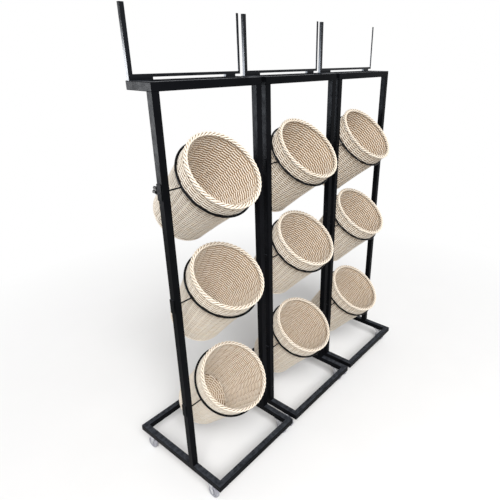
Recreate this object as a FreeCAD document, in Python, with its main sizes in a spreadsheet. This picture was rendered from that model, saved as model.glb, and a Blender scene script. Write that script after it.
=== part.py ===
import FreeCAD, Part
import Sketcher
import os
import re

# Basket display rack: a row of three free-standing units of square tube on swivel casters.
# In each unit three wire rings tilt on pins between the uprights and hold round baskets,
# and a sign holder stands on the top frame.
# Millimetres and degrees, +Z up, front towards -Y, origin on the floor under the row's middle.

sizes = {
    # row of units and their square tube
    "unitWidth": 438,
    "unitGap": 23,
    "tubeSide": 25,
    "tubeWall": 1.5,
    "tubeCorner": 2,
    "baseDepth": 488,
    "uprightSetback": 149,
    "topDepth": 117,
    # room round the baskets, and how far a top foot dips behind the middle rim
    "footClear": 9.4,
    "rowClear": 30.1,
    "rowNest": 9.9,
    "headRoom": 131.7,
    # how far each basket tips forward from upright
    "tilt1top": 50,
    "tilt1middle": 38,
    "tilt1bottom": 42,
    "tilt2top": 46,
    "tilt2middle": 40,
    "tilt2bottom": 37,
    "tilt3top": 46,
    "tilt3middle": 40,
    "tilt3bottom": 38,
    # ring and pins
    "wireRadius": 4,
    "pinRadius": 2.5,
    "pinEnd": 1.5,
    "seatClear": 0.3,
    "runningClear": 0.05,
    "pivotPlateWidth": 20,
    "pivotPlateHeight": 52,
    "pivotPlateThick": 2.5,
    "pivotPlateCorner": 3,
    # basket, heights above its foot
    "seatHeight": 257,
    "rimAbove": 62,
    "flareHeight": 130,
    "baseRadius": 110,
    "flareRadius": 121,
    "seatRadius": 136.3,
    "rimRadius": 140,
    "rimBead": 6,
    "basketWall": 5,
    "basketFloor": 6,
    "footLift": 4,
    # clamp knob on the back of the left upright
    "knobRadius": 15,
    "knobLobe": 5,
    "knobThick": 13,
    "knobBoss": 8,
    "knobStandoff": 11,
    "studRadius": 3,
    "studClear": 1.5,
    "faceClear": 0.3,
    # sign holder, an angle with a front flange, wider up its left post, on two feet
    "holderHeight": 186,
    "holderFlange": 9,
    "holderPostLeft": 14,
    "holderPostRight": 9,
    "holderDepth": 10,
    "holderThick": 2,
    "holderFootHeight": 7.5,
    "holderFootLeft": 80,
    "holderFootRight": 45,
    "holderFootInset": 24,
    "screwRadius": 2,
    "screwClear": 0.1,
    "screwHeadRadius": 3.5,
    "screwHeadThick": 2,
    "screwTail": 4,
    # casters
    "casterHeight": 72,
    "casterInset": 65,
    "casterInboard": 2,
    "casterPlateLength": 44,
    "casterPlateThick": 2.5,
    "kingpinRadius": 4,
    "kingpinTop": 3,
    "raceRadius": 11,
    "raceThick": 6,
    "crownThick": 2.5,
    "crownFront": 11,
    "crownBack": 14,
    "cheekThick": 2,
    "cheekEnd": 7,
    "wheelRadius": 25,
    "wheelWidth": 13.5,
    "wheelSideClear": 0.75,
    "wheelTrail": 12,
    "treadBevel": 2.5,
    "wheelHubRadius": 8,
    "wheelRimRadius": 18,
    "wheelWebThick": 6,
    "axleRadius": 3,
    # how far every cutting shape runs past what it cuts
    "overrun": 5,
}

# How far a basket's foot hangs below its pivot and its rim stands above it, at a tilt
footReach = "(seatHeight * cos({0}) + baseRadius * sin({0}))"
rimReach = "((rimAbove - rimBead) * cos({0}) + (rimRadius - basketWall / 2) * sin({0}) + rimBead)"

# Sizes that follow from the others; pivots are from the top of the base frame upwards
sizes.update({
    "basketHeight": "=seatHeight + rimAbove",
    "bottomPivot": "=footClear + " + footReach.format("tilt1bottom"),
    "lowerPitch": "=rowClear + " + footReach.format("tilt1middle") + " + " + rimReach.format("tilt1bottom"),
    "upperPitch": "=" + footReach.format("tilt2top") + " + " + rimReach.format("tilt2middle") + " - rowNest",
    "uprightLength": "=bottomPivot + lowerPitch + upperPitch + headRoom + " + rimReach.format("tilt1top"),
})

unitNumbers = (1, 2, 3)
pivotHeights = {
    "bottom": "casterHeight + tubeSide + bottomPivot",
    "middle": "casterHeight + tubeSide + bottomPivot + lowerPitch",
    "top": "casterHeight + tubeSide + bottomPivot + lowerPitch + upperPitch",
}
casterCorners = {"front_left": (-1, -1), "front_right": (1, -1), "back_left": (-1, 1), "back_right": (1, 1)}
knobLobeCount = 5

doc = FreeCAD.newDocument("BasketDisplayRack")
sheet = doc.addObject("Spreadsheet::Sheet", "Sizes")
for line, (name, number) in enumerate(sizes.items(), 1):
    sheet.set("A%d" % line, name)
    sheet.set("B%d" % line, str(number))
    sheet.setAlias("B%d" % line, name)
doc.recompute()
subparts = []

# Places that several pieces share, written in the sheet's names
frontFace = "(-baseDepth / 2)"
uprightFront = "(uprightSetback - baseDepth / 2)"
pivotDepth = "(uprightSetback - baseDepth / 2 + tubeSide / 2)"
baseTop = "(casterHeight + tubeSide)"
topUnder = "(casterHeight + tubeSide + uprightLength)"
backRailMiddle = "(uprightSetback - baseDepth / 2 + topDepth - tubeSide / 2)"
ringRadius = "(seatRadius + seatClear + wireRadius)"
crownTop = "(casterHeight - casterPlateThick - faceClear - raceThick)"
slotHalf = "(wheelWidth / 2 + wheelSideClear)"
screwDepth = "((holderDepth + holderThick) / 2)"
footMiddles = {"L": "(holderFootLeft / 2 - unitWidth / 2)",
               "R": "(unitWidth / 2 - holderFootInset - holderFootRight / 2)"}


def formula(text):
    return re.sub(r"[A-Za-z]\w*", lambda word: "Sizes." + word.group() if word.group() in sizes else word.group(), text)


def size(text):
    return float(sheet.evalExpression(formula(text)))


def unitMiddle(unit):
    return "(%d * (unitWidth + unitGap))" % (unit - 2)


def bind(thing, **expressions):
    for name, text in expressions.items():
        thing.setExpression(name, formula(text))


def place(thing, x="0", y="0", z="0", axis=(1, 0, 0), angle="0"):
    spot = "create(<<vector>>; %s; %s; %s)" % (x, y, z)
    turn = "create(<<rotation>>; create(<<vector>>; %d; %d; %d); %s)" % (axis + (angle,))
    thing.setExpression("Placement", formula("create(<<placement>>; %s; %s)" % (spot, turn)))


def box(name, length, width, height, x, y, z):
    made = doc.addObject("Part::Box", name)
    bind(made, Length=length, Width=width, Height=height)
    place(made, x, y, z)
    return made


def cylinder(name, radius, height, x="0", y="0", z="0", axis=(1, 0, 0), angle="0"):
    made = doc.addObject("Part::Cylinder", name)
    bind(made, Radius=radius, Height=height)
    place(made, x, y, z, axis, angle)
    return made


def cut(name, base, tool):
    made = doc.addObject("Part::Cut", name)
    made.Base = base
    made.Tool = tool
    return made


def fuse(name, shapes):
    made = doc.addObject("Part::MultiFuse", name)
    made.Shapes = shapes
    return made


def group(name, shapes):
    made = doc.addObject("Part::Compound", name)
    made.Links = shapes
    return made


def roundEdges(name, base, radius, chosen):
    doc.recompute()
    made = doc.addObject("Part::Fillet", name)
    made.Base = base
    made.Edges = [(i, size(radius), size(radius)) for i, edge in enumerate(base.Shape.Edges, 1) if chosen(edge)]
    return made


def keep(thing, label):
    thing.Label = label
    subparts.append(thing)


def runsAlong(edge, direction):
    start, end = edge.Vertexes[0].Point, edge.Vertexes[-1].Point
    return (end - start).normalize().cross(direction).Length < 0.5


def newSketch(body, name, role, offset="0"):
    plane = next(feature for feature in body.Origin.OriginFeatures if feature.Role == role)
    sketch = body.newObject("Sketcher::SketchObject", name)
    sketch.AttachmentSupport = (plane, "")
    sketch.MapMode = "FlatFace"
    sketch.setExpression("AttachmentOffset.Base.z", formula(offset))
    return sketch


def pinPoint(sketch, shape, end, x, y):
    for kind, text, line in (("DistanceX", x, -2), ("DistanceY", y, -1)):
        if text == "0":
            sketch.addConstraint(Sketcher.Constraint("PointOnObject", shape, end, line))
        else:
            held = sketch.addConstraint(Sketcher.Constraint(kind, -1, 1, shape, end, size(text)))
            sketch.setExpression("Constraints[%d]" % held, formula(text))


def drawPolygon(sketch, corners):
    spots = [FreeCAD.Vector(size(x), size(y), 0) for x, y in corners]
    first = sketch.GeometryCount
    for i, spot in enumerate(spots):
        sketch.addGeometry(Part.LineSegment(spot, spots[(i + 1) % len(spots)]), False)
    for i, (x, y) in enumerate(corners):
        following = first + (i + 1) % len(corners)
        sketch.addConstraint(Sketcher.Constraint("Coincident", first + i, 2, following, 1))
        pinPoint(sketch, first + i, 1, x, y)


def drawCircle(sketch, radius, x="0", y="0"):
    centre = FreeCAD.Vector(size(x), size(y), 0)
    shape = sketch.addGeometry(Part.Circle(centre, FreeCAD.Vector(0, 0, 1), size(radius)), False)
    pinPoint(sketch, shape, 3, x, y)
    held = sketch.addConstraint(Sketcher.Constraint("Radius", shape, size(radius)))
    sketch.setExpression("Constraints[%d]" % held, formula(radius))


def pad(body, name, sketch, length, backwards=False, bothWays=False):
    made = body.newObject("PartDesign::Pad", name)
    made.Profile = sketch
    made.Reversed = backwards
    made.Midplane = bothWays
    bind(made, Length=length)
    return made


def pocketThrough(body, name, sketch, bothWays=False):
    made = body.newObject("PartDesign::Pocket", name)
    made.Profile = sketch
    made.Type = "ThroughAll"
    made.Midplane = bothWays
    return made


def revolve(body, name, sketch, axis):
    made = body.newObject("PartDesign::Revolution", name)
    made.Profile = sketch
    made.ReferenceAxis = (sketch, [axis])
    return made


# Welded loop of square tube: rounded outside, hollow inside, with round holes where fittings enter
def tubeLoop(name, middle, front, bottom, depth, holes):
    left = "%s - unitWidth / 2" % middle
    inset = "(tubeSide - tubeWall)"
    block = box(name + "Block", "unitWidth", depth, "tubeSide", left, front, bottom)
    window = box(name + "Window", "unitWidth - 2 * tubeSide", depth + " - 2 * tubeSide", "tubeSide + 2 * overrun",
                 left + " + tubeSide", front + " + tubeSide", bottom + " - overrun")
    loop = cut(name + "Loop", block, window)
    doc.recompute()
    outside = loop.Shape.BoundBox
    up = FreeCAD.Vector(0, 0, 1)

    def convex(edge):
        return not runsAlong(edge, up) or edge.BoundBox.XMin < outside.XMin + size("tubeCorner") \
            or edge.BoundBox.XMax > outside.XMax - size("tubeCorner")

    rounded = roundEdges(name + "Rounded", loop, "tubeCorner", convex)
    cavityHeight = "tubeSide - 2 * tubeWall"
    cavityBottom = bottom + " + tubeWall"
    cavityBlock = box(name + "CavityBlock", "unitWidth - 2 * tubeWall", depth + " - 2 * tubeWall", cavityHeight,
                      left + " + tubeWall", front + " + tubeWall", cavityBottom)
    cavityCore = box(name + "CavityCore", "unitWidth - 2 * " + inset, depth + " - 2 * " + inset, cavityHeight,
                     left + " + " + inset, front + " + " + inset, cavityBottom)
    hollow = cut(name + "Hollow", rounded, cut(name + "Cavity", cavityBlock, cavityCore))
    return cut(name + "Tube", hollow, group(name + "Holes", holes))


def casterSpot(unit, across, along):
    x = "%s + %d * (unitWidth / 2 - tubeSide / 2 - casterInboard)" % (unitMiddle(unit), across)
    y = "%d * (baseDepth / 2 - casterInset)" % along
    return x, y


def baseFrame(unit):
    name = "Base%d" % unit
    holes = []
    for corner, (across, along) in casterCorners.items():
        x, y = casterSpot(unit, across, along)
        holes.append(cylinder("%sHole_%s" % (name, corner), "kingpinRadius + runningClear", "tubeWall + 2 * overrun",
                              x, y, "casterHeight - overrun"))
    keep(tubeLoop(name, unitMiddle(unit), frontFace, "casterHeight", "baseDepth", holes), "base_frame_%d" % unit)


def topFrame(unit):
    name = "Top%d" % unit
    holes = []
    for side, middle in footMiddles.items():
        holes.append(cylinder("%sHole%s" % (name, side), "screwRadius + screwClear", "tubeWall + 2 * overrun",
                              "%s + %s" % (unitMiddle(unit), middle), backRailMiddle,
                              topUnder + " + tubeSide - tubeWall - overrun"))
    keep(tubeLoop(name, unitMiddle(unit), uprightFront, topUnder, "topDepth", holes), "top_frame_%d" % unit)


# Pair of square tubes with a pin hole for each ring, and a knob hole in the back of the left one
def uprightPair(unit):
    pair = []
    up = FreeCAD.Vector(0, 0, 1)
    for side in (-1, 1):
        name = "Upright%d%s" % (unit, "L" if side < 0 else "R")
        left = "%s + %d * (unitWidth / 2 - tubeSide / 2) - tubeSide / 2" % (unitMiddle(unit), side)
        block = box(name + "Block", "tubeSide", "tubeSide", "uprightLength", left, uprightFront, baseTop)
        rounded = roundEdges(name + "Rounded", block, "tubeCorner", lambda edge: runsAlong(edge, up))
        bore = box(name + "Bore", "tubeSide - 2 * tubeWall", "tubeSide - 2 * tubeWall", "uprightLength + 2 * overrun",
                   left + " + tubeWall", uprightFront + " + tubeWall", baseTop + " - overrun")
        holes = [cylinder("%sPin_%s" % (name, row), "pinRadius + runningClear", "tubeSide + 2 * overrun",
                          left + " - overrun", pivotDepth, height, (0, 1, 0), "90")
                 for row, height in pivotHeights.items()]
        if side < 0:
            holes.append(cylinder(name + "Stud", "studRadius + runningClear", "tubeWall + 2 * overrun",
                                  left + " + tubeSide / 2", uprightFront + " + tubeSide - tubeWall - overrun",
                                  pivotHeights["top"], (1, 0, 0), "-90"))
        tube = cut(name + "Tube", rounded, bore)
        pair.append(cut(name, tube, group(name + "Holes", holes)))
    keep(group("Uprights%d" % unit, pair), "uprights_%d" % unit)


# U of thin angle, open at the top, the back and the right end, with two feet under its bar
def signHolder(unit):
    body = doc.addObject("PartDesign::Body", "SignHolder%d" % unit)
    half = "unitWidth / 2"
    outline = newSketch(body, "HolderOutline%d" % unit, "XZ_Plane")
    left = "-(" + half + ")"
    leftInner = "holderPostLeft - " + half
    rightInner = half + " - holderPostRight"
    drawPolygon(outline, ((left, "0"), (half, "0"), (half, "holderHeight"), (rightInner, "holderHeight"),
                          (rightInner, "holderFlange"), (leftInner, "holderFlange"),
                          (leftInner, "holderHeight"), (left, "holderHeight")))
    pad(body, "HolderBlank%d" % unit, outline, "holderDepth", backwards=True)
    feet = newSketch(body, "HolderFeetOutline%d" % unit, "XZ_Plane")
    footOut = half + " - holderFootInset"
    for start, end in ((left, "holderFootLeft - " + half), (footOut + " - holderFootRight", footOut)):
        drawPolygon(feet, ((start, "0"), (end, "0"), (end, "-holderFootHeight"), (start, "-holderFootHeight")))
    pad(body, "HolderFeet%d" % unit, feet, "holderDepth", backwards=True)
    behind = newSketch(body, "HolderBehindOutline%d" % unit, "XZ_Plane", "-holderThick")
    web = "holderThick - " + half
    past = half + " + overrun"
    drawPolygon(behind, ((web, "holderThick"), (past, "holderThick"), (past, "holderHeight + overrun"),
                         (web, "holderHeight + overrun")))
    pocketThrough(body, "HolderBehind%d" % unit, behind)
    holes = newSketch(body, "HolderHoleOutline%d" % unit, "XY_Plane")
    for middle in footMiddles.values():
        drawCircle(holes, "screwRadius + screwClear", middle, screwDepth)
    pocketThrough(body, "HolderHoles%d" % unit, holes, bothWays=True)
    place(body, unitMiddle(unit), backRailMiddle + " - " + screwDepth, topUnder + " + tubeSide + holderFootHeight")
    keep(body, "sign_holder_%d" % unit)


def holderScrews():
    screws = []
    headUnder = topUnder + " + tubeSide + holderFootHeight + holderThick"
    for unit in unitNumbers:
        for side, middle in footMiddles.items():
            name = "Screw%d%s" % (unit, side)
            x = "%s + %s" % (unitMiddle(unit), middle)
            head = cylinder(name + "Head", "screwHeadRadius", "screwHeadThick", x, backRailMiddle, headUnder)
            shank = cylinder(name + "Shank", "screwRadius", "holderThick + holderFootHeight + tubeWall + screwTail",
                             x, backRailMiddle, topUnder + " + tubeSide - tubeWall - screwTail")
            screws.append(fuse(name, [head, shank]))
    keep(group("HolderScrews", screws), "sign_holder_screws")


# Round-cornered plates on the outer faces of the uprights, one at each pin, flush with the upright's back
def pivotPlates():
    plates = []
    across = FreeCAD.Vector(1, 0, 0)
    back = uprightFront + " + tubeSide"
    for unit in unitNumbers:
        for row, height in pivotHeights.items():
            for side in (-1, 1):
                name = "Plate%d%s%s" % (unit, row, "L" if side < 0 else "R")
                face = "%s + %d * (unitWidth / 2 + pivotPlateThick / 2)" % (unitMiddle(unit), side)
                left = face + " - pivotPlateThick / 2"
                block = box(name + "Block", "pivotPlateThick", "pivotPlateWidth", "pivotPlateHeight",
                            left, back + " - pivotPlateWidth", height + " - pivotPlateHeight / 2")
                rounded = roundEdges(name + "Rounded", block, "pivotPlateCorner", lambda edge: runsAlong(edge, across))
                hole = cylinder(name + "Hole", "pinRadius + runningClear", "pivotPlateThick + 2 * overrun",
                                left + " - overrun", pivotDepth, height, (0, 1, 0), "90")
                plates.append(cut(name, rounded, hole))
    keep(group("PivotPlates", plates), "pivot_plates")


# Wire ring with a pin out to each side, built flat about its pin axis and then tilted
def basketRing(unit, row):
    name = "Ring%d%s" % (unit, row)
    wire = doc.addObject("Part::Torus", name + "Wire")
    bind(wire, Radius1=ringRadius, Radius2="wireRadius")
    place(wire, axis=(0, 0, 1), angle="90")
    reach = "unitWidth / 2 + pivotPlateThick + pinEnd - " + ringRadius
    right = cylinder(name + "PinR", "pinRadius", reach, ringRadius, axis=(0, 1, 0), angle="90")
    left = cylinder(name + "PinL", "pinRadius", reach, "-" + ringRadius, axis=(0, 1, 0), angle="-90")
    ring = fuse(name, [wire, left, right])
    place(ring, unitMiddle(unit), pivotDepth, pivotHeights[row], (1, 0, 0), "tilt%d%s" % (unit, row))
    keep(ring, "basket_ring_%d_%s" % (unit, row))


# Flared round basket with a raised floor and a thick rim, drawn from the height of its ring
def basket(unit, row):
    name = "Basket%d%s" % (unit, row)
    body = doc.addObject("PartDesign::Body", name)
    wall = newSketch(body, name + "Wall", "XZ_Plane")
    outside = (("baseRadius", "-seatHeight"), ("flareRadius", "flareHeight - seatHeight"), ("seatRadius", "0"),
               ("rimRadius", "basketHeight - rimBead - seatHeight"))
    floorTop = "footLift + basketFloor - seatHeight"
    inside = (("rimRadius - basketWall", "basketHeight - rimBead - seatHeight"), ("seatRadius - basketWall", "0"),
              ("flareRadius - basketWall", "flareHeight - seatHeight"), ("baseRadius - basketWall", floorTop),
              ("0", floorTop), ("0", "footLift - seatHeight"), ("baseRadius - basketWall", "footLift - seatHeight"),
              ("baseRadius - basketWall", "-seatHeight"))
    drawPolygon(wall, outside + inside)
    revolve(body, name + "Shell", wall, "V_Axis")
    rim = newSketch(body, name + "RimOutline", "XZ_Plane")
    drawCircle(rim, "rimBead", "rimRadius - basketWall / 2", "basketHeight - rimBead - seatHeight")
    revolve(body, name + "Rim", rim, "V_Axis")
    place(body, unitMiddle(unit), pivotDepth, pivotHeights[row], (1, 0, 0), "tilt%d%s" % (unit, row))
    keep(body, "basket_%d_%s" % (unit, row))


# Lobed knob whose stud reaches through the upright's back wall, backed off a little from the top pin
def clampKnob(unit):
    name = "Knob%d" % unit
    lobeCircle = "(knobRadius - knobLobe)"
    pieces = [cylinder(name + "Core", "knobRadius - knobLobe", "knobThick", z="knobStandoff"),
              cylinder(name + "Boss", "knobBoss", "knobStandoff - faceClear", z="faceClear"),
              cylinder(name + "Stud", "studRadius", "tubeSide / 2 - pinRadius - studClear + knobStandoff",
                       z="pinRadius + studClear - tubeSide / 2")]
    for lobe in range(knobLobeCount):
        turn = "(%d * 360 / %d)" % (lobe, knobLobeCount)
        pieces.append(cylinder("%sLobe%d" % (name, lobe), "knobLobe", "knobThick",
                               "%s * sin(%s)" % (lobeCircle, turn), "%s * cos(%s)" % (lobeCircle, turn), "knobStandoff"))
    knob = fuse(name, pieces)
    place(knob, "%s - unitWidth / 2 + tubeSide / 2" % unitMiddle(unit), uprightFront + " + tubeSide",
          pivotHeights["top"], (1, 0, 0), "-90")
    keep(knob, "clamp_knob_%d" % unit)


def casterPlates():
    plates = []
    for unit in unitNumbers:
        for corner, (across, along) in casterCorners.items():
            x, y = casterSpot(unit, across, along)
            name = "CasterPlate%d_%s" % (unit, corner)
            block = box(name + "Block", "tubeSide", "casterPlateLength", "casterPlateThick", x + " - tubeSide / 2",
                        y + " - casterPlateLength / 2", "casterHeight - casterPlateThick")
            hole = cylinder(name + "Hole", "kingpinRadius + runningClear", "casterPlateThick + 2 * overrun",
                            x, y, "casterHeight - casterPlateThick - overrun")
            plates.append(cut(name, block, hole))
    keep(group("CasterPlates", plates), "caster_plates")


# Stamped fork with its swivel race and king pin, and the axle riveted through its cheeks
def casterFork(unit, corner):
    name = "Fork%d_%s" % (unit, corner)
    across, along = casterCorners[corner]
    x, y = casterSpot(unit, across, along)
    turn = "0" if along > 0 else "180"
    body = doc.addObject("PartDesign::Body", name + "Body")
    side = newSketch(body, name + "Side", "YZ_Plane")
    drawPolygon(side, (("-crownFront", crownTop), ("crownBack", crownTop), ("wheelTrail + cheekEnd", "wheelRadius"),
                       ("wheelTrail - cheekEnd", "wheelRadius")))
    pad(body, name + "Blank", side, "2 * (%s + cheekThick)" % slotHalf, bothWays=True)
    end = newSketch(body, name + "End", "YZ_Plane")
    drawCircle(end, "cheekEnd", "wheelTrail", "wheelRadius")
    pad(body, name + "Ends", end, "2 * (%s + cheekThick)" % slotHalf, bothWays=True)
    race = newSketch(body, name + "Race", "XY_Plane", crownTop)
    drawCircle(race, "raceRadius")
    pad(body, name + "RaceDisc", race, "raceThick")
    pin = newSketch(body, name + "Pin", "XY_Plane", crownTop)
    drawCircle(pin, "kingpinRadius")
    pad(body, name + "KingPin", pin, "raceThick + faceClear + casterPlateThick + kingpinTop")
    slot = newSketch(body, name + "Slot", "XZ_Plane")
    drawPolygon(slot, (("-" + slotHalf, "wheelRadius - cheekEnd - overrun"),
                       (slotHalf, "wheelRadius - cheekEnd - overrun"),
                       (slotHalf, crownTop + " - crownThick"), ("-" + slotHalf, crownTop + " - crownThick")))
    pocketThrough(body, name + "SlotCut", slot, bothWays=True)
    hole = newSketch(body, name + "Hole", "YZ_Plane")
    drawCircle(hole, "axleRadius + runningClear", "wheelTrail", "wheelRadius")
    pocketThrough(body, name + "HoleCut", hole, bothWays=True)
    axle = cylinder(name + "Axle", "axleRadius", "2 * (%s + cheekThick)" % slotHalf, "-(%s + cheekThick)" % slotHalf,
                    "wheelTrail", "wheelRadius", (0, 1, 0), "90")
    fork = group(name, [body, axle])
    place(fork, x, y, "0", (0, 0, 1), turn)
    keep(fork, "caster_fork_%d_%s" % (unit, corner))


# Wheel with a recessed web between hub and rim and a bevelled tread
def casterWheel(unit, corner):
    name = "Wheel%d_%s" % (unit, corner)
    across, along = casterCorners[corner]
    x, y = casterSpot(unit, across, along)
    body = doc.addObject("PartDesign::Body", name)
    section = newSketch(body, name + "Section", "XZ_Plane")
    half = "wheelWidth / 2"
    web = "wheelWebThick / 2"
    right = ((half, "axleRadius + runningClear"), (half, "wheelHubRadius"), (web, "wheelHubRadius"),
             (web, "wheelRimRadius"), (half, "wheelRimRadius"), (half, "wheelRadius - treadBevel"),
             (half + " - treadBevel", "wheelRadius"))
    left = tuple(("-(" + along + ")", out) for along, out in reversed(right))
    drawPolygon(section, right + left)
    revolve(body, name + "Turned", section, "H_Axis")
    place(body, x, "%s + %d * wheelTrail" % (y, along), "wheelRadius")
    keep(body, "caster_wheel_%d_%s" % (unit, corner))


for unit in unitNumbers:
    baseFrame(unit)
    uprightPair(unit)
    topFrame(unit)
    signHolder(unit)
    clampKnob(unit)
    for row in pivotHeights:
        basketRing(unit, row)
        basket(unit, row)
    for corner in casterCorners:
        casterFork(unit, corner)
        casterWheel(unit, corner)
holderScrews()
pivotPlates()
casterPlates()
doc.recompute()

# Nothing is written unless every object is sound
for thing in doc.Objects:
    if "Invalid" in thing.State or "Error" in thing.State:
        raise RuntimeError("%s failed: %s" % (thing.Name, thing.State))
for thing in subparts:
    if thing.Shape.isNull() or not thing.Shape.isValid() or not thing.Shape.Solids:
        raise RuntimeError("%s has no sound shape" % thing.Label)

os.makedirs("parts", exist_ok=True)
for thing in subparts:
    thing.Shape.exportStep("parts/%s.step" % thing.Label)
    print("%s: %d solids, %.1f cm3" % (thing.Label, len(thing.Shape.Solids), thing.Shape.Volume / 1000))
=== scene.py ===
import math
import random

import bmesh
import bpy
import numpy as np
from mathutils import Matrix, Vector


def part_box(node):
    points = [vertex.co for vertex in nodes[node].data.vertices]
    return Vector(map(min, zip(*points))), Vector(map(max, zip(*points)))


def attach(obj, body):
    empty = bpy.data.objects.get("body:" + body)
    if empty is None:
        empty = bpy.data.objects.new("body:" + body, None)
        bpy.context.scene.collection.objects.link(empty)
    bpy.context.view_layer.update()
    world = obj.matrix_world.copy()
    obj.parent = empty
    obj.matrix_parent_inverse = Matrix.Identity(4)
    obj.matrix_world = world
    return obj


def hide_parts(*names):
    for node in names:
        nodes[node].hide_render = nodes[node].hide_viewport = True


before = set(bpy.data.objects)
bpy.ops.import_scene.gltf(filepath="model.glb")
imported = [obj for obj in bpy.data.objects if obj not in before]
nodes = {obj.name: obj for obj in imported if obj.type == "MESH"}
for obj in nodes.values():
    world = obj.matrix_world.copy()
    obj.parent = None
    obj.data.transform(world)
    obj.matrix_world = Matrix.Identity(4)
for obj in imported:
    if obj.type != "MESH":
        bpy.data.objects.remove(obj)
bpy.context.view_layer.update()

scene = bpy.context.scene
scene.view_settings.view_transform = "Standard"
fullTurn = 2 * math.pi
units = (1, 2, 3)
rows = ("top", "middle", "bottom")
print("frame loaded with", len(nodes), "nodes")

# small helpers for the finishes


def newFinish(name):
    material = bpy.data.materials.new(name)
    material.use_nodes = True
    tree = material.node_tree
    return material, tree, tree.nodes["Principled BSDF"]


def speckle(tree, scale, detail=2.0, stretch=None):
    where = tree.nodes.new("ShaderNodeTexCoord")
    cloud = tree.nodes.new("ShaderNodeTexNoise")
    cloud.inputs["Scale"].default_value = scale
    cloud.inputs["Detail"].default_value = detail
    if stretch is None:
        tree.links.new(where.outputs["Object"], cloud.inputs["Vector"])
    else:
        turn = tree.nodes.new("ShaderNodeMapping")
        turn.inputs["Scale"].default_value = stretch
        tree.links.new(where.outputs["Object"], turn.inputs["Vector"])
        tree.links.new(turn.outputs["Vector"], cloud.inputs["Vector"])
    return cloud.outputs[0]


def ramp(tree, source, low, high, start=0.3, end=0.7):
    blend = tree.nodes.new("ShaderNodeValToRGB")
    blend.color_ramp.elements[0].position = start
    blend.color_ramp.elements[0].color = (*low, 1)
    blend.color_ramp.elements[1].position = end
    blend.color_ramp.elements[1].color = (*high, 1)
    tree.links.new(source, blend.inputs["Fac"])
    return blend.outputs["Color"]


def between(tree, source, low, high, start=0.0, end=1.0):
    span = tree.nodes.new("ShaderNodeMapRange")
    span.inputs["From Min"].default_value = start
    span.inputs["From Max"].default_value = end
    span.inputs["To Min"].default_value = low
    span.inputs["To Max"].default_value = high
    tree.links.new(source, span.inputs["Value"])
    return span.outputs["Result"]


def mixed(tree, factor, first, second, kind="MIX"):
    blend = tree.nodes.new("ShaderNodeMix")
    blend.data_type = "RGBA"
    blend.blend_type = kind
    for socket, value in ((blend.inputs[0], factor), (blend.inputs[6], first), (blend.inputs[7], second)):
        if isinstance(value, float):
            socket.default_value = value
        elif isinstance(value, tuple):
            socket.default_value = (*value, 1)
        else:
            tree.links.new(value, socket)
    return blend.outputs[2]


def dimples(tree, shader, height, strength, depth):
    bump = tree.nodes.new("ShaderNodeBump")
    bump.inputs["Strength"].default_value = strength
    bump.inputs["Distance"].default_value = depth
    tree.links.new(height, bump.inputs["Height"])
    tree.links.new(bump.outputs["Normal"], shader.inputs["Normal"])


def upward(tree):
    where = tree.nodes.new("ShaderNodeTexCoord")
    parts = tree.nodes.new("ShaderNodeSeparateXYZ")
    tree.links.new(where.outputs["Normal"], parts.inputs["Vector"])
    return parts.outputs["Z"]


# black powder coat on the tube frames, with a fine orange peel and a paler film on top faces: partly dust,
# partly a painted sheen of the light from above
powderCoat = {
    "dark": (0.0028, 0.0030, 0.0036), "pale": (0.0055, 0.0058, 0.0072),
    "dustAndSheenColour": (0.060, 0.066, 0.078), "dustAndSheenLeast": 0.25, "dustAndSheenShare": 0.85, "tint": (0.78, 0.87, 1.0),
    "dustAndSheenSize": 60.0, "dustAndSheenFrom": 0.35, "dustAndSheenTo": 0.70, "flatFrom": 0.75, "sheenSize": 38.0,
    "cloudSize": 7.0, "peelSize": 900.0, "peelDepth": 0.00022, "peelStrength": 0.28,
    "smooth": 0.28, "dull": 0.42, "gloss": 0.022,
}


def frameFinish(name, look):
    material, tree, shader = newFinish(name)
    tint = ramp(tree, speckle(tree, look["cloudSize"], 4.0), look["dark"], look["pale"])
    # up-facing faces turn paler in spots: partly dust, partly painted sheen standing in for the light from
    # above
    spots = speckle(tree, look["dustAndSheenSize"], 5.0)
    dustAndSheenSpots = between(tree, spots, look["dustAndSheenLeast"], look["dustAndSheenShare"], look["dustAndSheenFrom"], look["dustAndSheenTo"])
    onTop = between(tree, upward(tree), 0.0, 1.0, look["flatFrom"], 1.0)
    dustAndSheenMask = tree.nodes.new("ShaderNodeMath")
    dustAndSheenMask.operation = "MULTIPLY"
    tree.links.new(dustAndSheenSpots, dustAndSheenMask.inputs[0])
    tree.links.new(onTop, dustAndSheenMask.inputs[1])
    tree.links.new(mixed(tree, dustAndSheenMask.outputs[0], tint, look["dustAndSheenColour"]), shader.inputs["Base Color"])
    sheen = between(tree, speckle(tree, look["sheenSize"], 3.0), look["smooth"], look["dull"], 0.3, 0.7)
    tree.links.new(sheen, shader.inputs["Roughness"])
    shader.inputs["Specular IOR Level"].default_value = look["gloss"]
    shader.inputs["Specular Tint"].default_value = (*look["tint"], 1)
    peel = speckle(tree, look["peelSize"], 1.0)
    dimples(tree, shader, peel, look["peelStrength"], look["peelDepth"])
    return material


# satin black on the bent wire rings, a little paler on top faces: partly dust, partly painted sheen
wireCoat = {
    "dark": (0.0028, 0.0028, 0.0030), "pale": (0.0060, 0.0060, 0.0066),
    "dustAndSheenColour": (0.030, 0.031, 0.034), "dustAndSheenLeast": 0.0, "dustAndSheenShare": 0.18, "tint": (0.9, 0.94, 1.0),
    "dustAndSheenSize": 60.0, "dustAndSheenFrom": 0.35, "dustAndSheenTo": 0.70, "flatFrom": 0.75, "sheenSize": 38.0,
    "cloudSize": 24.0, "peelSize": 1500.0, "peelDepth": 0.00012, "peelStrength": 0.22,
    "smooth": 0.28, "dull": 0.42, "gloss": 0.06,
}

# the sign holders' coat is smoother and glossier
holderCoat = dict(powderCoat, smooth=0.16, dull=0.26, gloss=0.16, peelStrength=0.16)

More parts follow.
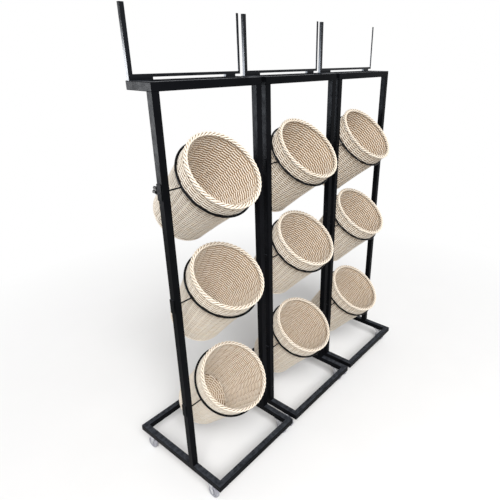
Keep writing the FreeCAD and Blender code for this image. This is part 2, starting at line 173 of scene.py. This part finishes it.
# bright zinc on the caster plates and forks
zincPlate = {
    "dark": (0.34, 0.35, 0.37), "pale": (0.66, 0.67, 0.70),
    "cloudSize": 85.0, "brush": (40.0, 900.0, 900.0), "smooth": 0.16, "dull": 0.36,
    "lineStrength": 0.12, "lineDepth": 0.00008,
}


def zincFinish(name, look):
    material, tree, shader = newFinish(name)
    tint = ramp(tree, speckle(tree, look["cloudSize"], 5.0), look["dark"], look["pale"])
    tree.links.new(tint, shader.inputs["Base Color"])
    shader.inputs["Metallic"].default_value = 1.0
    lines = speckle(tree, 1.0, 2.0, look["brush"])
    tree.links.new(between(tree, lines, look["smooth"], look["dull"], 0.3, 0.7), shader.inputs["Roughness"])
    dimples(tree, shader, lines, look["lineStrength"], look["lineDepth"])
    return material


# moulded plastic, for the clamp knobs and the caster wheels
knobPlastic = {
    "dark": (0.0040, 0.0040, 0.0044), "pale": (0.0090, 0.0090, 0.0098),
    "cloudSize": 55.0, "scuffSize": 210.0, "smooth": 0.40, "dull": 0.58, "gloss": 0.28,
    "grainSize": 1800.0, "grainStrength": 0.25, "grainDepth": 0.00015,
}
wheelPlastic = {
    "dark": (0.30, 0.30, 0.34), "pale": (0.46, 0.46, 0.51),
    "cloudSize": 70.0, "scuffSize": 210.0, "smooth": 0.30, "dull": 0.48, "gloss": 0.45,
    "grainSize": 1300.0, "grainStrength": 0.25, "grainDepth": 0.00012,
}


def plasticFinish(name, look):
    material, tree, shader = newFinish(name)
    tint = ramp(tree, speckle(tree, look["cloudSize"], 5.0), look["dark"], look["pale"])
    tree.links.new(tint, shader.inputs["Base Color"])
    scuffs = speckle(tree, look["scuffSize"], 4.0)
    tree.links.new(between(tree, scuffs, look["smooth"], look["dull"], 0.3, 0.7), shader.inputs["Roughness"])
    shader.inputs["Specular IOR Level"].default_value = look["gloss"]
    grain = speckle(tree, look["grainSize"], 2.0)
    dimples(tree, shader, grain, look["grainStrength"], look["grainDepth"])
    return material


# cream rattan strands: the mesh's "weave" attribute holds tone, painted shade for the recesses, and the
# basket's own tint
rattan = {
    "tan": (0.900, 0.800, 0.660), "cream": (0.955, 0.905, 0.830),
    "hollow": (0.360, 0.225, 0.120), "hollowStart": 0.10, "hollowEnd": 1.0,
    "paler": (1.0, 0.99, 0.97), "darker": (0.90, 0.87, 0.82),
    "fleckSize": 620.0, "fleckDark": (0.90, 0.88, 0.85), "fleckFrom": 0.25, "fleckTo": 0.6,
    "roughSize": 260.0, "smooth": 0.44, "dull": 0.62, "gloss": 0.35,
    "fibreSize": 992.0, "fibreStrength": 0.22, "fibreDepth": 0.0002,
}


def rattanFinish(name, look):
    material, tree, shader = newFinish(name)
    weave = tree.nodes.new("ShaderNodeAttribute")
    weave.attribute_name = "weave"
    parts = tree.nodes.new("ShaderNodeSeparateColor")
    tree.links.new(weave.outputs["Color"], parts.inputs["Color"])
    strand = ramp(tree, parts.outputs["Red"], look["tan"], look["cream"], 0.0, 1.0)
    shade = ramp(tree, parts.outputs["Blue"], look["darker"], look["paler"], 0.0, 1.0)
    spots = speckle(tree, look["fleckSize"], 3.0)
    fleck = ramp(tree, spots, look["fleckDark"], (1.0, 1.0, 1.0), look["fleckFrom"], look["fleckTo"])
    tinted = mixed(tree, 1.0, strand, shade, "MULTIPLY")
    flecked = mixed(tree, 1.0, tinted, fleck, "MULTIPLY")
    # painted shade: recesses turn dark brown by the weave's green channel
    shadeAmount = between(tree, parts.outputs["Green"], 0.0, 1.0, look["hollowStart"], look["hollowEnd"])
    tree.links.new(mixed(tree, shadeAmount, flecked, look["hollow"]), shader.inputs["Base Color"])
    rough = speckle(tree, look["roughSize"], 3.0)
    tree.links.new(between(tree, rough, look["smooth"], look["dull"], 0.3, 0.7), shader.inputs["Roughness"])
    shader.inputs["Specular IOR Level"].default_value = look["gloss"]
    fibres = speckle(tree, look["fibreSize"], 2.0)
    dimples(tree, shader, fibres, look["fibreStrength"], look["fibreDepth"])
    return material


powderBlack = frameFinish("powderBlack", powderCoat)
wireBlack = frameFinish("wireBlack", wireCoat)
holderBlack = frameFinish("holderBlack", holderCoat)
brightZinc = zincFinish("brightZinc", zincPlate)
knobBlack = plasticFinish("knobBlack", knobPlastic)
wheelGrey = plasticFinish("wheelGrey", wheelPlastic)
creamRattan = rattanFinish("creamRattan", rattan)

finishOf = (
    ("basket_ring", wireBlack), ("clamp_knob", knobBlack), ("caster_plates", brightZinc),
    ("caster_fork", brightZinc), ("caster_wheel", wheelGrey), ("base_frame", powderBlack),
    ("uprights", powderBlack), ("top_frame", powderBlack), ("sign_holder_screws", brightZinc),
    ("sign_holder", holderBlack), ("pivot_plates", powderBlack), ("basket_", creamRattan),
)
for nodeName, node in nodes.items():
    finish = next(material for start, material in finishOf if nodeName.startswith(start))
    if not node.data.materials:
        node.data.materials.append(finish)
    for slot in node.material_slots:
        slot.material = finish
print("finishes set on the frame, rings, knobs and casters")

# the woven basket, made once upright with its foot at height 0, then copied into each ring
basketWeave = {
    "outline": ((0.0, 0.1100), (0.130, 0.1210), (0.257, 0.1363), (0.313, 0.1400)),  # height, outer radius
    "seat": 0.257,                                     # height of the wire ring
    "stakes": 28, "stakeDepth": 0.0028, "stakeWidth": 0.0060, "stakeTop": 0.309, "stakeCuts": 5,
    "stakeSides": 6, "stakeTone": 0.55, "stakeShade": 0.85,
    "firstRow": 0.0125, "rowPitch": 0.0053, "rowCount": 56,
    "strandDepth": 0.0030, "strandHeight": 0.0050, "wave": 0.0025, "sides": 6, "stepsPerStake": 7,
    "square": 1.3,                                     # how long a strand stays in front of a stake
    "pressed": 1.1,                                    # strands spread against their neighbours
    "toneRange": (0.35, 0.95), "toneDrift": 0.12, "slip": 0.10, "sag": 0.00025,
    "shadeRise": 1.5, "shadeFrom": 0.5,                  # painted shade only on the side behind a stake
    # the core is a dark sheet of painted shade inside the wall
    "coreThick": 0.0008, "coreBottom": 0.006, "coreTop": 0.308, "coreLevels": 7,
    "coreTone": 0.4, "coreShade": 0.95,
}
rimBraid = {
    "radius": 0.1345, "height": 0.3120, "strands": 3, "strandRadius": 0.0032, "sides": 7,
    "swingOut": 0.0045, "swingUp": 0.0036, "turns": 17, "stepsPerTurn": 14,
    "toneRange": (0.55, 0.95), "toneDrift": 0.1, "shadeRise": 1.6, "shadeFrom": 0.2,
}
footBraid = {
    "radius": 0.1075, "height": 0.0041, "strands": 3, "strandRadius": 0.0021, "sides": 5,
    "swingOut": 0.0019, "swingUp": 0.0019, "turns": 30, "stepsPerTurn": 6,
    "toneRange": (0.55, 0.95), "toneDrift": 0.1, "shadeRise": 1.6, "shadeFrom": 0.2,
}
floorWeave = {
    "height": 0.0095, "spokes": 24, "spokeDepth": 0.0024, "spokeWidth": 0.0042, "spokeEnd": 0.1070,
    "firstRing": 0.0120, "ringPitch": 0.0053, "ringCount": 18, "strandDepth": 0.0026, "strandWidth": 0.0047,
    "wave": 0.0017, "sides": 6, "stepsPerSpoke": 3, "ringTone": 0.6, "ringDrift": 0.25, "ringShade": 0.30,
    "spokeSides": 6, "spokeTone": 0.55, "spokeShade": 0.70,
    "knot": (0.0125, 0.0125, 0.0036), "knotSides": 16, "knotLevels": 8, "knotTone": 0.7, "knotShade": 0.1,
}
chance = random.Random(41)
upright = Matrix.Rotation(math.pi / 2, 4, "X")


def wallMiddle(height):
    heights = [point[0] for point in basketWeave["outline"]]
    radii = [point[1] for point in basketWeave["outline"]]
    halfWall = basketWeave["wave"] + basketWeave["strandDepth"] / 2
    return float(np.interp(height, heights, radii)) - halfWall


def fresh(bm, done):
    return [vert for vert in bm.verts if not vert[done]]


def spun(bm, verts, steps, copies=False):
    edges = list({edge for vert in verts for edge in vert.link_edges})
    faces = list({face for vert in verts for face in vert.link_faces})
    around = fullTurn * steps / (steps + 1) if copies else fullTurn
    bmesh.ops.spin(
        bm, geom=verts + edges + faces, cent=(0, 0, 0), axis=(0, 0, 1), dvec=(0, 0, 0), angle=around,
        steps=steps, use_merge=not copies, use_normal_flip=False, use_duplicate=copies,
    )


# stores a strand's tone and the painted shade given to its recess
def paint(vert, layers, tone, shadeDepth):
    done, weave = layers
    vert[done] = 1
    vert[weave] = (min(max(tone, 0.0), 1.0), min(max(shadeDepth, 0.0), 1.0), 0.5, 1.0)


def sideways(vert, amount):
    length = math.hypot(vert.co.x, vert.co.y)
    vert.co.x *= (length + amount) / length
    vert.co.y *= (length + amount) / length


def weaveWall(bm, layers):
    look = basketWeave
    for row in range(look["rowCount"]):
        height = look["firstRow"] + row * look["rowPitch"]
        place = Matrix.Translation((wallMiddle(height), 0, height)) @ upright
        place = place @ Matrix.Diagonal((look["strandDepth"] / 2, look["strandHeight"] / 2, 1, 1))
        bmesh.ops.create_circle(bm, cap_ends=False, segments=look["sides"], radius=1.0, matrix=place)
    spun(bm, fresh(bm, layers[0]), look["stakes"] * look["stepsPerStake"])
    tones = [chance.uniform(*look["toneRange"]) for row in range(look["rowCount"])]
    slips = [chance.uniform(-look["slip"], look["slip"]) for row in range(look["rowCount"])]
    for vert in fresh(bm, layers[0]):
        row = round((vert.co.z - look["firstRow"]) / look["rowPitch"])
        angle = math.atan2(vert.co.y, vert.co.x)
        height = look["firstRow"] + row * look["rowPitch"]
        vert.co.z = height + look["pressed"] * (vert.co.z - height)
        middle = wallMiddle(height)
        side = (math.hypot(vert.co.x, vert.co.y) - middle) / (look["strandDepth"] / 2)
        swing = math.cos(look["stakes"] / 2 * angle + math.pi * row + slips[row])
        swing = math.tanh(look["square"] * swing) / math.tanh(look["square"])
        sideways(vert, look["wave"] * swing)
        vert.co.z += look["sag"] * math.sin(3 * angle + 5 * slips[row] * row)
        drift = look["toneDrift"] * math.sin(7 * angle + 11 * row)
        # painted shade: the side of a row that lies behind a stake is darkened
        paint(vert, layers, tones[row] + drift, -look["shadeRise"] * side * swing - look["shadeFrom"])


def shadeLiner(bm, layers):
    look = basketWeave  # a dark sheet in the middle of the wall and under the floor, painted shade that shows only as dark gaps between strands
    half = look["coreThick"] / 2
    climb = np.linspace(look["coreBottom"], look["coreTop"], look["coreLevels"])
    outline = [(wallMiddle(height) + half, height) for height in climb]
    outline += [(wallMiddle(height) - half, height) for height in climb[::-1]]
    corners = [bm.verts.new((radius, 0, height)) for radius, height in outline]
    for count, corner in enumerate(corners):
        bm.edges.new((corners[count - 1], corner))
    spun(bm, fresh(bm, layers[0]), look["stakes"])
    place = Matrix.Translation((0, 0, floorWeave["height"]))
    bmesh.ops.create_cone(bm, cap_ends=True, segments=look["stakes"], radius1=floorWeave["spokeEnd"],
                          radius2=floorWeave["spokeEnd"], depth=look["coreThick"], matrix=place)
    for vert in fresh(bm, layers[0]):
        paint(vert, layers, look["coreTone"], look["coreShade"])


def standStakes(bm, layers):
    look = basketWeave
    tall = look["stakeTop"]
    place = Matrix.Translation((0, 0, tall / 2))
    place = place @ Matrix.Diagonal((look["stakeDepth"] / 2, look["stakeWidth"] / 2, tall, 1))
    bmesh.ops.create_cone(
        bm, cap_ends=True, segments=look["stakeSides"], radius1=1.0, radius2=1.0, depth=1.0, matrix=place)
    stake = fresh(bm, layers[0])
    long = list({edge for vert in stake for edge in vert.link_edges if edge.calc_length() > tall / 2})
    bmesh.ops.subdivide_edges(bm, edges=long, cuts=look["stakeCuts"])
    stake = fresh(bm, layers[0])
    for vert in stake:
        vert.co.x += wallMiddle(vert.co.z)
    spun(bm, stake, look["stakes"] - 1, copies=True)
    # painted shade: the stakes are darkened, as they show only in the gaps between rows
    for vert in fresh(bm, layers[0]):
        paint(vert, layers, look["stakeTone"], look["stakeShade"])


def twistBraid(bm, layers, look):
    for strand in range(look["strands"]):
        place = Matrix.Translation((look["radius"], 0, look["height"])) @ upright
        bmesh.ops.create_circle(
            bm, cap_ends=False, segments=look["sides"], radius=look["strandRadius"], matrix=place)
        spun(bm, fresh(bm, layers[0]), look["turns"] * look["stepsPerTurn"])
        tone = chance.uniform(*look["toneRange"])
        reachOut = look["swingOut"] + look["strandRadius"]
        reachUp = look["swingUp"] + look["strandRadius"]
        for vert in fresh(bm, layers[0]):
            angle = math.atan2(vert.co.y, vert.co.x)
            swing = look["turns"] * angle + fullTurn * strand / look["strands"]
            sideways(vert, look["swingOut"] * math.cos(swing))
            vert.co.z += look["swingUp"] * math.sin(swing)
            out = (math.hypot(vert.co.x, vert.co.y) - look["radius"]) / reachOut
            up = (vert.co.z - look["height"]) / reachUp
            drift = look["toneDrift"] * math.sin(5 * angle)
            # painted shade: each strand darkens towards the middle of the braid
            paint(vert, layers, tone + drift, look["shadeRise"] * (1 - math.hypot(out, up)) - look["shadeFrom"])


def weaveFloor(bm, layers):
    look = floorWeave
    for ring in range(look["ringCount"]):
        radius = look["firstRing"] + ring * look["ringPitch"]
        place = Matrix.Translation((radius, 0, look["height"])) @ upright
        place = place @ Matrix.Diagonal((look["strandWidth"] / 2, look["strandDepth"] / 2, 1, 1))
        bmesh.ops.create_circle(bm, cap_ends=False, segments=look["sides"], radius=1.0, matrix=place)
    spun(bm, fresh(bm, layers[0]), look["spokes"] * look["stepsPerSpoke"])
    mostDepth = look["wave"] + look["strandDepth"] / 2
    for vert in fresh(bm, layers[0]):
        ring = round((math.hypot(vert.co.x, vert.co.y) - look["firstRing"]) / look["ringPitch"])
        angle = math.atan2(vert.co.y, vert.co.x)
        vert.co.z += look["wave"] * math.cos(look["spokes"] / 2 * angle + math.pi * ring)
        depth = abs(vert.co.z - look["height"]) / mostDepth
        tone = look["ringTone"] + look["ringDrift"] * math.sin(2.3 * ring)
        # painted shade: each ring is darker where it passes at mid-depth between the spokes
        paint(vert, layers, tone, look["ringShade"] * (1 - depth))
    length = look["spokeEnd"]
    place = Matrix.Translation((length / 2, 0, look["height"])) @ Matrix.Rotation(math.pi / 2, 4, "Y")
    place = place @ Matrix.Diagonal((look["spokeDepth"] / 2, look["spokeWidth"] / 2, length, 1))
    bmesh.ops.create_cone(
        bm, cap_ends=True, segments=look["spokeSides"], radius1=1.0, radius2=1.0, depth=1.0, matrix=place)
    spun(bm, fresh(bm, layers[0]), look["spokes"] - 1, copies=True)
    for vert in fresh(bm, layers[0]):
        # painted shade: the spokes are darkened
        paint(vert, layers, look["spokeTone"], look["spokeShade"])
    place = Matrix.Translation((0, 0, look["height"])) @ Matrix.Diagonal((*look["knot"], 1))
    bmesh.ops.create_uvsphere(
        bm, u_segments=look["knotSides"], v_segments=look["knotLevels"], radius=1.0, matrix=place)
    for vert in fresh(bm, layers[0]):
        paint(vert, layers, look["knotTone"], look["knotShade"])


bm = bmesh.new()
layers = (bm.verts.layers.int.new("done"), bm.verts.layers.float_color.new("weave"))
twistBraid(bm, layers, rimBraid)
twistBraid(bm, layers, footBraid)
weaveFloor(bm, layers)
standStakes(bm, layers)
shadeLiner(bm, layers)
weaveWall(bm, layers)
bm.verts.layers.int.remove(bm.verts.layers.int["done"])
bmesh.ops.recalc_face_normals(bm, faces=bm.faces[:])
basketMesh = bpy.data.meshes.new("basketWeave")
bm.to_mesh(basketMesh)
bm.free()
basketMesh.shade_smooth()
basketMesh.materials.append(creamRattan)
basketMesh.calc_loop_triangles()
print("one basket woven from", len(basketMesh.loop_triangles), "triangles")

# each basket is turned and shaded a little differently
basketSet = {
    "wireRadius": 0.004, "turnStep": 37,
    "shades": (0.85, 0.55, 0.70, 0.45, 0.75, 0.60, 0.50, 0.80, 0.65),
}
for count, (unit, row) in enumerate((unit, row) for unit in units for row in rows):
    low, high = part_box(f"basket_ring_{unit}_{row}")
    half = (high - low) / 2
    wire = basketSet["wireRadius"]
    tilt = math.atan2(half.z - wire, half.y - wire)  # the ring's slope, from its box
    place = Matrix.Translation((low + high) / 2) @ Matrix.Rotation(tilt, 4, "X")
    place = place @ Matrix.Rotation(math.radians(basketSet["turnStep"] * count), 4, "Z")
    place = place @ Matrix.Translation((0, 0, -basketWeave["seat"]))
    mesh = basketMesh.copy()
    mesh.name = f"basketWeave_{unit}_{row}"
    mesh.transform(place)
    tints = np.empty(len(mesh.vertices) * 4, np.float32)
    mesh.attributes["weave"].data.foreach_get("color", tints)
    tints[2::4] = basketSet["shades"][count]
    mesh.attributes["weave"].data.foreach_set("color", tints)
    basket = bpy.data.objects.new(mesh.name, mesh)
    scene.collection.objects.link(basket)
    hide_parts(f"basket_{unit}_{row}")
    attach(basket, f"basket_{unit}_{row}")
bpy.data.meshes.remove(basketMesh)
print("nine baskets set in their rings")

# pale floor, soft light from the front left, white background
studio = {
    "floorHalf": 45.0, "floorPale": (0.88, 0.88, 0.88), "floorShade": (0.865, 0.865, 0.865),
    "floorCloud": 3.0, "floorRough": 0.85, "floorGloss": 0.1, "floorNear": 1.0, "floorFar": 2.4,
    "floorBounce": (0.44, 0.44, 0.44),                 # what the floor sends back at the rack
    "fillTint": (1.0, 0.99, 0.98), "fill": 0.46,
    "sunPower": 2.05, "sunSpread": 34.0, "sunFrom": (-0.50, -0.62, 0.84),
    "frontPower": 61.0, "frontSize": 1.8, "frontAt": (-1.6, -2.6, 2.9), "frontTo": (0.0, -0.1, 0.8),
    "cardPower": 105.0, "cardSize": 0.95, "cardAt": (-2.15, 1.75, 1.15), "cardTo": (-0.5, -0.05, 1.20),
}


def whiteRays(tree):
    path = tree.nodes.new("ShaderNodeLightPath")
    seen = path.outputs["Is Camera Ray"]
    for other in ("Is Glossy Ray", "Is Transmission Ray"):
        either = tree.nodes.new("ShaderNodeMath")
        either.operation = "MAXIMUM"
        tree.links.new(seen, either.inputs[0])
        tree.links.new(path.outputs[other], either.inputs[1])
        seen = either.outputs[0]
    return seen


def layFloor(look):
    bm = bmesh.new()
    bmesh.ops.create_grid(bm, x_segments=1, y_segments=1, size=look["floorHalf"])
    mesh = bpy.data.meshes.new("paleFloor")
    bm.to_mesh(mesh)
    bm.free()
    material, tree, shader = newFinish("paleFloor")
    tint = ramp(tree, speckle(tree, look["floorCloud"], 4.0), look["floorShade"], look["floorPale"])
    seen = whiteRays(tree)
    tree.links.new(mixed(tree, seen, look["floorBounce"], tint), shader.inputs["Base Color"])
    shader.inputs["Roughness"].default_value = look["floorRough"]
    shader.inputs["Specular IOR Level"].default_value = look["floorGloss"]
    where = tree.nodes.new("ShaderNodeTexCoord")
    away = tree.nodes.new("ShaderNodeVectorMath")
    away.operation = "LENGTH"
    tree.links.new(where.outputs["Object"], away.inputs[0])
    far = between(tree, away.outputs["Value"], 0.0, 1.0, look["floorNear"], look["floorFar"])
    fade = tree.nodes.new("ShaderNodeMath")
    fade.operation = "MULTIPLY"
    tree.links.new(far, fade.inputs[0])
    tree.links.new(seen, fade.inputs[1])
    white = tree.nodes.new("ShaderNodeEmission")
    pick = tree.nodes.new("ShaderNodeMixShader")
    tree.links.new(fade.outputs[0], pick.inputs[0])
    tree.links.new(shader.outputs[0], pick.inputs[1])
    tree.links.new(white.outputs[0], pick.inputs[2])
    tree.links.new(pick.outputs[0], tree.nodes["Material Output"].inputs["Surface"])
    mesh.materials.append(material)
    floor = bpy.data.objects.new("paleFloor", mesh)
    scene.collection.objects.link(floor)


def whiteWorld(look):
    world = bpy.data.worlds.new("whiteRoom")
    scene.world = world
    world.use_nodes = True
    tree = world.node_tree
    tree.nodes.clear()
    seen = whiteRays(tree)
    fill = tree.nodes.new("ShaderNodeBackground")
    fill.inputs["Color"].default_value = (*look["fillTint"], 1)
    fill.inputs["Strength"].default_value = look["fill"]
    white = tree.nodes.new("ShaderNodeBackground")
    white.inputs["Color"].default_value = (1, 1, 1, 1)
    white.inputs["Strength"].default_value = 1.0
    pick = tree.nodes.new("ShaderNodeMixShader")
    out = tree.nodes.new("ShaderNodeOutputWorld")
    tree.links.new(seen, pick.inputs[0])
    tree.links.new(fill.outputs[0], pick.inputs[1])
    tree.links.new(white.outputs[0], pick.inputs[2])
    tree.links.new(pick.outputs[0], out.inputs["Surface"])


def hangLamp(name, kind, power, place, towards):
    lamp = bpy.data.lights.new(name, kind)
    lamp.energy = power
    holder = bpy.data.objects.new(name, lamp)
    aim = (Vector(towards) - Vector(place)).to_track_quat("-Z", "Y")
    holder.matrix_world = Matrix.Translation(place) @ aim.to_matrix().to_4x4()
    holder.visible_camera = False
    scene.collection.objects.link(holder)
    return lamp


layFloor(studio)
whiteWorld(studio)
sun = hangLamp("softSun", "SUN", studio["sunPower"], Vector(studio["sunFrom"]) * 4, (0, 0, 0))
sun.angle = math.radians(studio["sunSpread"])
card = hangLamp("sideCard", "AREA", studio["cardPower"], studio["cardAt"], studio["cardTo"])
card.size = studio["cardSize"]
scene.objects["sideCard"].visible_diffuse = False  # the card is only there to gleam on the coat
front = hangLamp("frontCard", "AREA", studio["frontPower"], studio["frontAt"], studio["frontTo"])
front.size = studio["frontSize"]
print("floor, world and lamps ready")

# camera at the photograph's place, for a square frame
shopCamera = {
    "place": (-1.4269, -1.1539, 1.5654), "heading": 38.37, "pitch": -23.35, "roll": 0.32,
    "lens": 31.93, "sensor": 36.0, "shift": (-0.0778, -0.0056),
}
eye = bpy.data.cameras.new("shopCamera")
eye.sensor_fit = "HORIZONTAL"
eye.sensor_width = shopCamera["sensor"]
eye.lens = shopCamera["lens"]
eye.shift_x, eye.shift_y = shopCamera["shift"]
viewer = bpy.data.objects.new("shopCamera", eye)
turn = Matrix.Rotation(math.radians(shopCamera["heading"] - 90), 4, "Z")
nod = Matrix.Rotation(math.radians(90 + shopCamera["pitch"]), 4, "X")
lean = Matrix.Rotation(math.radians(shopCamera["roll"]), 4, "Z")
viewer.matrix_world = Matrix.Translation(shopCamera["place"]) @ turn @ nod @ lean
scene.collection.objects.link(viewer)
scene.camera = viewer
